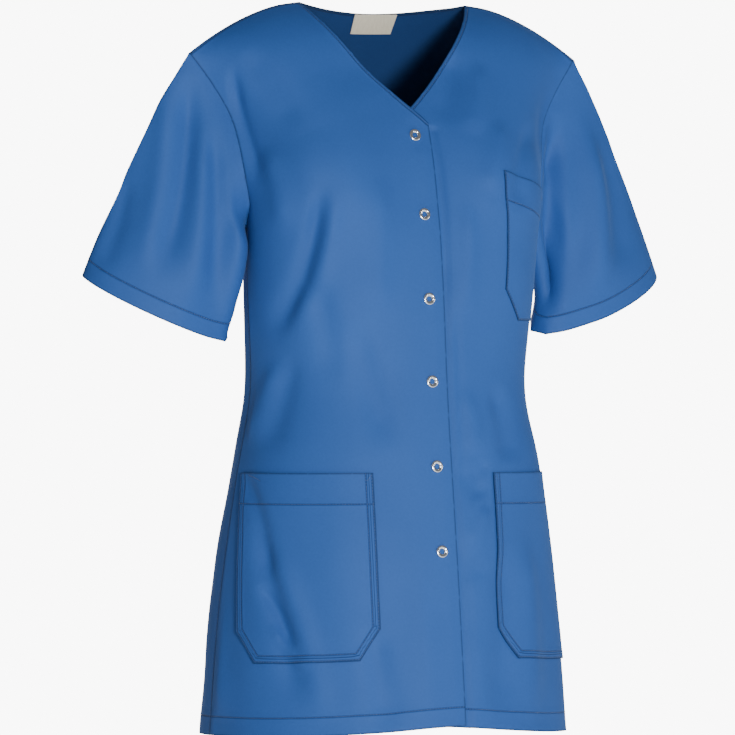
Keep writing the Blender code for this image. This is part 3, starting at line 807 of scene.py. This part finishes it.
def sew(name, chains, pitch=STITCH_PITCH, length=STITCH_LENGTH, radius=THREAD_RADIUS):
    """One object with a stitch at every pitch along each chain."""
    corners, faces = [], []
    for chain in chains:
        line = np.array([place for place, _ in chain])
        lean = np.array([normal for _, normal in chain])
        run = np.r_[0, np.cumsum(np.linalg.norm(np.diff(line, axis=0), axis=1))]
        for middle in np.arange(pitch, run[-1] - pitch / 2, pitch):
            ends = [np.array([np.interp(middle + part, run, line[:, k]) for k in range(3)])
                    for part in (-length / 2, length / 2)]
            up = np.array([np.interp(middle, run, lean[:, k]) for k in range(3)])
            along = ends[1] - ends[0]
            along /= np.linalg.norm(along)
            up -= along * (up @ along)
            up /= np.linalg.norm(up)
            side = np.cross(up, along)
            centre = (ends[0] + ends[1]) / 2 + up * STITCH_LIFT
            first = len(corners)
            for x, y, z in stitch_shape:
                corners.append(centre + along * x * length / 2 + side * y * radius + up * z * radius * 0.8)
            faces += [[first + v for v in face] for face in stitch_faces]
    made = new_piece(name, corners, faces)
    bpy.ops.object.shade_smooth()
    print(name, len(faces) // len(stitch_faces), "stitches")
    return made


# %% The rows of each piece
HEM_ROW = 0.0195
CUFF_ROW = 0.018
EDGE_ROW = 0.0032
SEAM_ROW = 0.0022
POCKET_HEM_ROW = 0.0320
CHEST_HEM_ROW = 0.0300
POCKET_ROWS = (0.0018, 0.0080)
HIP_POCKET_PLAN = [("mouth", POCKET_HEM_ROW)] + [("pocket sides", row) for row in POCKET_ROWS]
ROW_PLAN = {
    "front_right": [("hem", HEM_ROW), ("neck", EDGE_ROW), ("shoulder", SEAM_ROW)],
    "front_left": [("hem", HEM_ROW), ("neck", EDGE_ROW), ("shoulder", SEAM_ROW)],
    "back": [("hem", HEM_ROW), ("neck", EDGE_ROW), ("armhole", SEAM_ROW), ("side", SEAM_ROW)],
    "sleeve_right": [("cuff", CUFF_ROW)],
    "sleeve_left": [("cuff", CUFF_ROW)],
    "pocket_hip_right": HIP_POCKET_PLAN,
    "pocket_hip_left": HIP_POCKET_PLAN,
    "pocket_chest": [("mouth", CHEST_HEM_ROW), ("pocket sides", POCKET_ROWS[0])],
}
rows_of = {}
for source, plan in ROW_PLAN.items():
    piece = cloths[source]
    rows_of[source] = []
    for edge_name, row in plan:
        field = distance_from(places(piece), edges_where(piece, RULES[edge_name]))
        rows_of[source].append((field, row, row_paths(piece, field, row)))
    print(source, "rows", [sum(len(p) for p in paths) for _, _, paths in rows_of[source]])

# %% Sewing
threads = {}
for source, rows in rows_of.items():
    chains = [chain for _, _, paths in rows for chain in paths]
    threads[source] = sew(source + "_stitches", chains)

# %% [markdown]
# Bar tacks are short dense bars of thread that stop a pocket's mouth from tearing at its corners. Each
# is a straight line dropped on to the pocket from the front. The label is held by a cream row near each
# short end.

# %% A helper that drops a straight line on a piece, and the tacks
LINE_POINTS = 8


def dropped_line(surface, start, end, start_y=-0.5):
    """A chain on the surface behind a straight line from start to end, given as x and height."""
    chain = []
    for share in np.linspace(0, 1, LINE_POINTS):
        x = start[0] + (end[0] - start[0]) * share
        z = start[1] + (end[1] - start[1]) * share
        spot, normal, _, _ = surface.ray_cast(Vector((x, start_y, z)), Vector((0, 1, 0)))
        if spot is not None:
            outwards = normal if normal.y < 0 else -normal
            chain.append((np.array(spot), np.array(outwards)))
    return chain


TACK_WIDTH = 0.004
TACK_DROP = 0.0085
TACK_INSET = 0.0025
tack_chains = []
for source in ("pocket_hip_right", "pocket_hip_left", "pocket_chest"):
    surface = surface_of(patches[source])
    points = places(patches[source])
    for side in (-1, 1):
        corner = points[np.argmax(points[:, 2] + 0.9 * side * points[:, 0])]
        start = (corner[0] - side * (TACK_INSET + TACK_WIDTH), corner[2] - TACK_DROP)
        end = (corner[0] - side * TACK_INSET, corner[2] - TACK_INSET)
        chain = dropped_line(surface, start, end)
        if len(chain) > 4:
            tack_chains.append(chain)
threads["tacks"] = sew("bar_tacks", tack_chains, pitch=0.0009, length=0.0016, radius=0.00034)
print(len(tack_chains), "bar tacks")

# %% The two rows that hold the label
LABEL_ROW_INSET = 0.0022
label_surface = surface_of(patches["label"])
points = places(patches["label"])
low, high = points.min(axis=0), points.max(axis=0)
label_chains = []
for x in (low[0] + LABEL_ROW_INSET, high[0] - LABEL_ROW_INSET):
    chain = dropped_line(label_surface, (x, low[2] + 0.001), (x, high[2] - 0.001), start_y=-0.01)
    if len(chain) > 4:
        label_chains.append(chain)
label_thread = sew("label_stitches", label_chains, pitch=0.0022, length=0.0015, radius=0.00022)

# %% [markdown]
# The cloth is a mid royal blue twill with a faint sheen. Its colour varies a little, and the thread rows
# sit in shallow grooves with small puckers beside them. Painted shade darkens each row and the last 2 mm
# before an edge, and just inside that a few specks are lighter, as wear and as a painted highlight on the
# turned edge. Rows and edges reach the material as attributes: the distance to the nearest row, which is
# signed, and to the nearest edge, in millimetres.

# %% Distances for the material
FAR = 99.0                # an attribute value that means nowhere near


def write_attribute(piece, name, values):
    layer = piece.data.attributes.new(name=name, type="FLOAT", domain="POINT")
    layer.data.foreach_set("value", np.asarray(values, np.float32))


for source, piece in cloths.items():
    rows = rows_of[source]
    first = 1000 * (rows[0][0] - rows[0][1])
    others = np.full(len(first), FAR)
    for field, row, _ in rows[1:]:
        gap = 1000 * (field - row)
        others = np.where(np.abs(gap) < np.abs(others), gap, others)
    write_attribute(piece, "hem_row", first)
    write_attribute(piece, "edge_row", others)
    all_edges = open_edges(piece)
    write_attribute(piece, "edge_gap", 1000 * distance_from(places(piece), all_edges))
print("attributes written")

# %% [markdown]
# A few helpers keep the material cells short: they add nodes with their values and link sockets.

# %% Node helpers
def node(material, kind, values=None, **settings):
    made = material.node_tree.nodes.new(kind)
    for key, value in settings.items():
        setattr(made, key, value)
    for key, value in (values or {}).items():
        made.inputs[key].default_value = value
    return made


def link(material, output, target):
    material.node_tree.links.new(output, target)


def texture(material, kind, coordinates, values, **settings):
    """The factor of a texture laid by these coordinates."""
    made = node(material, kind, values, **settings)
    link(material, coordinates, made.inputs["Vector"])
    return made.outputs["Fac"]


def maths(material, operation, a, b=None):
    """A math node on two inputs, each a socket or a number."""
    made = node(material, "ShaderNodeMath", operation=operation)
    for index, value in enumerate((a, b)):
        if value is None:
            continue
        if isinstance(value, (int, float)):
            made.inputs[index].default_value = value
        else:
            link(material, value, made.inputs[index])
    return made.outputs[0]


def near_row(material, attribute, width):
    """1 on the row that an attribute measures, 0 beyond the width in millimetres."""
    read = node(material, "ShaderNodeAttribute", attribute_name=attribute)
    size = maths(material, "ABSOLUTE", read.outputs["Fac"])
    part = maths(material, "DIVIDE", size, width)
    fall = maths(material, "SUBTRACT", 1.0, part)
    return maths(material, "MAXIMUM", fall, 0.0)


def mix_colour(material, factor, a, b):
    """A colour mix; a and b are sockets or colours."""
    made = node(material, "ShaderNodeMix", data_type="RGBA")
    link(material, factor, made.inputs["Factor"])
    for index, value in ((6, a), (7, b)):
        if isinstance(value, tuple):
            made.inputs[index].default_value = value
        else:
            link(material, value, made.inputs[index])
    return made.outputs[2]


# %% The blue twill
# The deepest blue colours dark specks in the cloth and is also painted shade at rows and edges; the palest
# blue is wear and also a painted highlight near edges.
BLUE = (0.021, 0.087, 0.320, 1)
BLUE_LIGHT = (0.030, 0.110, 0.380, 1)
BLUE_FLECK_AND_SHADE = (0.007, 0.030, 0.108, 1)
BLUE_WEAR_AND_HIGHLIGHT = (0.060, 0.190, 0.520, 1)
cloth_paint, shader = new_material("tunic_cloth", Roughness=0.64, Specular_IOR_Level=0.20,
                                   Sheen_Weight=0.10, Sheen_Roughness=0.45,
                                   Sheen_Tint=(0.35, 0.60, 1.0, 1))
weave_map = node(cloth_paint, "ShaderNodeUVMap", uv_map="weave")
solid_place = node(cloth_paint, "ShaderNodeTexCoord").outputs["Object"]

# %% Its weave: fine diagonal ribs crossed by single threads
RIBS_PER_METRE = 900
spread = node(cloth_paint, "ShaderNodeMapping", {"Scale": (14, 14, 14)})
link(cloth_paint, weave_map.outputs["UV"], spread.inputs["Vector"])
waves = []
for divisor, distortion, direction in ((20, 0.4, "DIAGONAL"), (14, 0.6, "X")):
    values = {"Scale": RIBS_PER_METRE / divisor, "Distortion": distortion,
              "Detail": 1.0, "Detail Scale": 2.0}
    waves.append(texture(cloth_paint, "ShaderNodeTexWave", spread.outputs["Vector"], values,
                         wave_type="BANDS", bands_direction=direction))
weave = maths(cloth_paint, "MULTIPLY", *waves)

# %% Its colour: cloudy shades, with painted shade at the rows and edges
clouds = texture(cloth_paint, "ShaderNodeTexNoise", solid_place,
                 {"Scale": 9.0, "Detail": 3.0, "Roughness": 0.55})
specks = texture(cloth_paint, "ShaderNodeTexNoise", solid_place,
                 {"Scale": 420.0, "Detail": 2.0, "Roughness": 0.6})
shade = mix_colour(cloth_paint, clouds, BLUE, BLUE_LIGHT)
fleck = maths(cloth_paint, "MULTIPLY", specks, 0.25)
shade = mix_colour(cloth_paint, fleck, shade, BLUE_FLECK_AND_SHADE)
ribs = maths(cloth_paint, "MULTIPLY", weave, 0.18)
shade = mix_colour(cloth_paint, ribs, shade, BLUE_LIGHT)
# painted shade along each stitch row; the same line also cuts the groove in the relief below
row_line = maths(cloth_paint, "MAXIMUM", near_row(cloth_paint, "hem_row", 1.5),
                 near_row(cloth_paint, "edge_row", 1.5))
shade = mix_colour(cloth_paint, maths(cloth_paint, "MULTIPLY", row_line, 0.80), shade, BLUE_FLECK_AND_SHADE)
# wear and a painted highlight: lighter specks just in from each edge, where the edge turns to the light
wear_and_highlight = maths(cloth_paint, "MULTIPLY", near_row(cloth_paint, "edge_gap", 2.2), specks)
shade = mix_colour(cloth_paint, maths(cloth_paint, "MULTIPLY", wear_and_highlight, 0.7), shade, BLUE_WEAR_AND_HIGHLIGHT)
# painted shade over the last 2.4 mm before each edge
shade = mix_colour(cloth_paint, near_row(cloth_paint, "edge_gap", 2.4), shade, BLUE_FLECK_AND_SHADE)
link(cloth_paint, shade, shader.inputs["Base Color"])

# %% Its relief: grooves at the rows, puckers beside them, and the weave
puckers = texture(cloth_paint, "ShaderNodeTexNoise", solid_place,
                  {"Scale": 120.0, "Detail": 1.0, "Roughness": 0.4})
beside = maths(cloth_paint, "MAXIMUM", near_row(cloth_paint, "hem_row", 7.0),
               near_row(cloth_paint, "edge_row", 5.0))
pucker_height = maths(cloth_paint, "MULTIPLY", puckers, beside)
groove = maths(cloth_paint, "MULTIPLY", row_line, -0.9)
relief = maths(cloth_paint, "ADD", groove, maths(cloth_paint, "MULTIPLY", pucker_height, 0.8))
bend_rows = node(cloth_paint, "ShaderNodeBump", {"Strength": 0.8, "Distance": 0.0009})
link(cloth_paint, relief, bend_rows.inputs["Height"])
bend_weave = node(cloth_paint, "ShaderNodeBump", {"Strength": 0.22, "Distance": 0.00012})
link(cloth_paint, weave, bend_weave.inputs["Height"])
link(cloth_paint, bend_rows.outputs["Normal"], bend_weave.inputs["Normal"])
link(cloth_paint, bend_weave.outputs["Normal"], shader.inputs["Normal"])
print("tunic_cloth has", len(cloth_paint.node_tree.nodes), "nodes")

# %% The reverse of the twill: duller, and darkened as painted shade for the inside of the tunic
shaded_reverse_paint = cloth_paint.copy()
shaded_reverse_paint.name = "tunic_reverse_shaded"
reverse_shader = shaded_reverse_paint.node_tree.nodes["Principled BSDF"]
reverse_shader.inputs["Sheen Weight"].default_value = 0.08
reverse_shader.inputs["Roughness"].default_value = 0.8
# painted shade: the fixed colours of the reverse are darkened to this share, standing in for the shade
# inside the tunic
REVERSE_SHADE_SHARE = 0.46      # how bright the reverse is beside the face
for made in shaded_reverse_paint.node_tree.nodes:
    if made.bl_idname == "ShaderNodeMix":
        for socket in (made.inputs[6], made.inputs[7]):
            if not socket.is_linked:
                darker = [REVERSE_SHADE_SHARE * part for part in socket.default_value[:3]]
                socket.default_value = (*darker, 1)

# %% The thread, the cream label cloth and the snap metal
THREAD_DARK = (0.009, 0.040, 0.150, 1)
THREAD_LIGHT = (0.018, 0.070, 0.250, 1)
thread_paint, shader = new_material("stitch_thread", Roughness=0.5, Sheen_Weight=0.3)
thread_place = node(thread_paint, "ShaderNodeTexCoord").outputs["Object"]
twist = texture(thread_paint, "ShaderNodeTexNoise", thread_place, {"Scale": 900.0, "Detail": 2.0})
thread_shade = mix_colour(thread_paint, twist, THREAD_DARK, THREAD_LIGHT)
link(thread_paint, thread_shade, shader.inputs["Base Color"])

CREAM_DARK = (0.62, 0.56, 0.42, 1)
CREAM_LIGHT = (0.80, 0.75, 0.62, 1)
label_paint, shader = new_material("label_cloth", Roughness=0.75, Sheen_Weight=0.2)
label_map = node(label_paint, "ShaderNodeUVMap", uv_map="weave").outputs["UV"]
label_wave = texture(label_paint, "ShaderNodeTexWave", label_map,
                     {"Scale": 380.0, "Distortion": 0.8, "Detail": 1.0},
                     wave_type="BANDS", bands_direction="Y")
label_cloud = texture(label_paint, "ShaderNodeTexNoise", label_map, {"Scale": 160.0, "Detail": 3.0})
label_shade = mix_colour(label_paint, label_cloud, CREAM_DARK, CREAM_LIGHT)
link(label_paint, label_shade, shader.inputs["Base Color"])
label_relief = node(label_paint, "ShaderNodeBump", {"Strength": 0.4, "Distance": 0.0002})
link(label_paint, label_wave, label_relief.inputs["Height"])
link(label_paint, label_relief.outputs["Normal"], shader.inputs["Normal"])

STEEL_DARK = (0.74, 0.76, 0.80, 1)
STEEL_LIGHT = (0.95, 0.96, 0.98, 1)
metal_paint, shader = new_material("snap_metal", Metallic=1.0)
metal_place = node(metal_paint, "ShaderNodeTexCoord").outputs["Object"]
scratches = texture(metal_paint, "ShaderNodeTexNoise", metal_place, {"Scale": 1500.0, "Detail": 3.0})
polish = node(metal_paint, "ShaderNodeMapRange", {"To Min": 0.10, "To Max": 0.26})
link(metal_paint, scratches, polish.inputs["Value"])
link(metal_paint, polish.outputs["Result"], shader.inputs["Roughness"])
metal_shade = mix_colour(metal_paint, scratches, STEEL_DARK, STEEL_LIGHT)
link(metal_paint, metal_shade, shader.inputs["Base Color"])
print("five materials for the part")

# %% [markdown]
# Now the cloth gets its thickness back, inwards, so that its outer face stays where the seams and the
# stitches need it.

# %% Thickness
PANEL_THICKNESS = 0.0010
PATCH_THICKNESS = 0.0009
LABEL_THICKNESS = 0.0006


def thicken(piece, thickness, reverse=True):
    wall = piece.modifiers.new("wall", "SOLIDIFY")
    wall.thickness = thickness
    wall.offset = -1
    wall.use_rim = True
    wall.material_offset = 1 if reverse else 0
    pick(piece)
    bpy.ops.object.modifier_apply(modifier="wall")
    bpy.ops.object.shade_smooth_by_angle(angle=math.radians(50))


for source, piece in panels.items():
    piece.data.materials.append(cloth_paint)
    piece.data.materials.append(shaded_reverse_paint)
    thicken(piece, PANEL_THICKNESS)
for source, piece in patches.items():
    piece.data.materials.append(label_paint if source == "label" else cloth_paint)
    thicken(piece, LABEL_THICKNESS if source == "label" else PATCH_THICKNESS, reverse=False)
print({piece.name: len(piece.data.polygons) * 2 for piece in (*panels.values(), *patches.values())})

# %% [markdown]
# A prong ring is a small pressed ring of bright steel. It starts as a circle, which is extruded inwards
# over a low crown and closed underneath, then smoothed. The cloth shows through its hole.

# %% One prong ring, modelled once
RING_PROFILE = [(1.0, 0.0), (0.985, 0.45), (0.93, 0.78), (0.84, 0.98), (0.72, 1.0), (0.60, 0.84),
                (0.50, 0.55), (0.44, 0.22), (0.42, 0.0)]
RING_SIDES = 50
PRONGS = 5
PRONG_DENT = 0.30
bpy.ops.object.select_all(action="DESELECT")
bpy.ops.mesh.primitive_circle_add(vertices=RING_SIDES, radius=1.0, fill_type="NOTHING")
ring_pattern = bpy.context.object
bpy.ops.object.mode_set(mode="EDIT")
bpy.ops.mesh.select_all(action="SELECT")
for (radius, height), (next_radius, next_height) in zip(RING_PROFILE, RING_PROFILE[1:]):
    bpy.ops.mesh.extrude_edges_move(TRANSFORM_OT_translate={"value": (0, 0, next_height - height)})
    scale = next_radius / radius
    bpy.ops.transform.resize(value=(scale, scale, 1), center_override=(0, 0, 0))
bpy.ops.mesh.select_mode(type="EDGE")
bpy.ops.mesh.select_all(action="DESELECT")
bpy.ops.mesh.select_non_manifold()
bpy.ops.mesh.bridge_edge_loops()
bpy.ops.mesh.select_all(action="SELECT")
bpy.ops.mesh.normals_make_consistent(inside=False)
bpy.ops.object.mode_set(mode="OBJECT")
shape = places(ring_pattern)
angle = np.arctan2(shape[:, 1], shape[:, 0])
inner = soft_step((0.80 - np.hypot(shape[:, 0], shape[:, 1])) / 0.3)
dent = 0.5 + 0.5 * np.cos(PRONGS * angle)
shape[:, 2] *= 1 - PRONG_DENT * inner * dent
shape[:, :2] *= (1 + 0.10 * inner * (dent - 0.5))[:, None]
move_points(ring_pattern, shape)
print("ring", len(ring_pattern.data.polygons), "faces,", PRONGS, "prongs curled over its inner edge")

# %% A ring and a back ring on each of the six snaps
RING_RADIUS = 0.0065
RING_RISE = 0.0012
ring_shape = places(ring_pattern)
ring_faces = [list(face.vertices) for face in ring_pattern.data.polygons]
bpy.data.objects.remove(ring_pattern)
metal_pieces = []


def seat_ring(node_name, outwards):
    """A ring laid where a packed one is: same middle, same lean."""
    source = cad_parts[node_name]
    points = places(source)
    middle = points.mean(axis=0)
    axis = np.linalg.svd(points - middle, full_matrices=False)[2][2]
    if axis @ outwards < 0:
        axis = -axis
    across = np.cross(axis, (0, 0, 1.0))
    across /= np.linalg.norm(across)
    up = np.cross(across, axis)
    middle = middle - axis * ((middle - points) @ axis).max()
    corners = [middle + (across * x + up * y) * RING_RADIUS + axis * z * RING_RISE
               for x, y, z in ring_shape]
    made = new_piece(node_name + "_metal", corners, ring_faces)
    bpy.ops.object.shade_smooth_by_angle(angle=math.radians(60))
    made.data.materials.append(metal_paint)
    return made


for number in range(1, 7):
    for kind, outwards in (("snap_ring", FRONTWARD), ("snap_back", BACKWARD)):
        name = f"{kind}_{number}"
        ring = seat_ring(name, outwards)
        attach(ring, "root")
        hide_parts(name)
        metal_pieces.append(ring)
    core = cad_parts[f"snap_core_{number}"]
    for slot in core.material_slots:
        slot.material = metal_paint
print(len(metal_pieces), "rings")

# %% Finishes, riding, and the solids that the pieces hide
for source, piece in {**panels, **patches}.items():
    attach(piece, "root")
    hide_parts(source)
for thread in threads.values():
    thread.data.materials.append(thread_paint)
    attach(thread, "root")
label_thread.data.materials.append(label_paint)
lay_map(label_thread, (0, 0, 0), (0, 0, 1), BACKWARD, ROUND_RADIUS)
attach(label_thread, "root")
print("all pieces finished")

# %% [markdown]
# Each piece of cloth has the size of its cut listed here, printed beside the area measured on the piece.
# The five panels hang, and the pockets and the label lie on them. The cut is not a rectangle, so its area
# is given too. The sizes were measured on the solids that the pieces start from and rounded, so they are
# sizes of this model, not of a real pattern.

# %% The cut of each sheet
CUTS = {
    "front_right": (0.293, 0.790, 0.181),
    "front_left": (0.293, 0.790, 0.181),
    "back": (0.534, 0.796, 0.332),
    "sleeve_right": (0.374, 0.264, 0.067),
    "sleeve_left": (0.391, 0.261, 0.068),
    "pocket_hip_right": (0.161, 0.196, 0.0303),
    "pocket_hip_left": (0.161, 0.196, 0.0303),
    "pocket_chest": (0.104, 0.155, 0.0139),
    "label": (0.048, 0.0246, 0.00118),
}
for source, (width, length, area) in CUTS.items():
    piece = panels.get(source) or patches[source]
    print(source, "measured", round(area_of(piece) / 2, 4), "m2, cut", area)

# %% The end
bpy.context.view_layer.update()
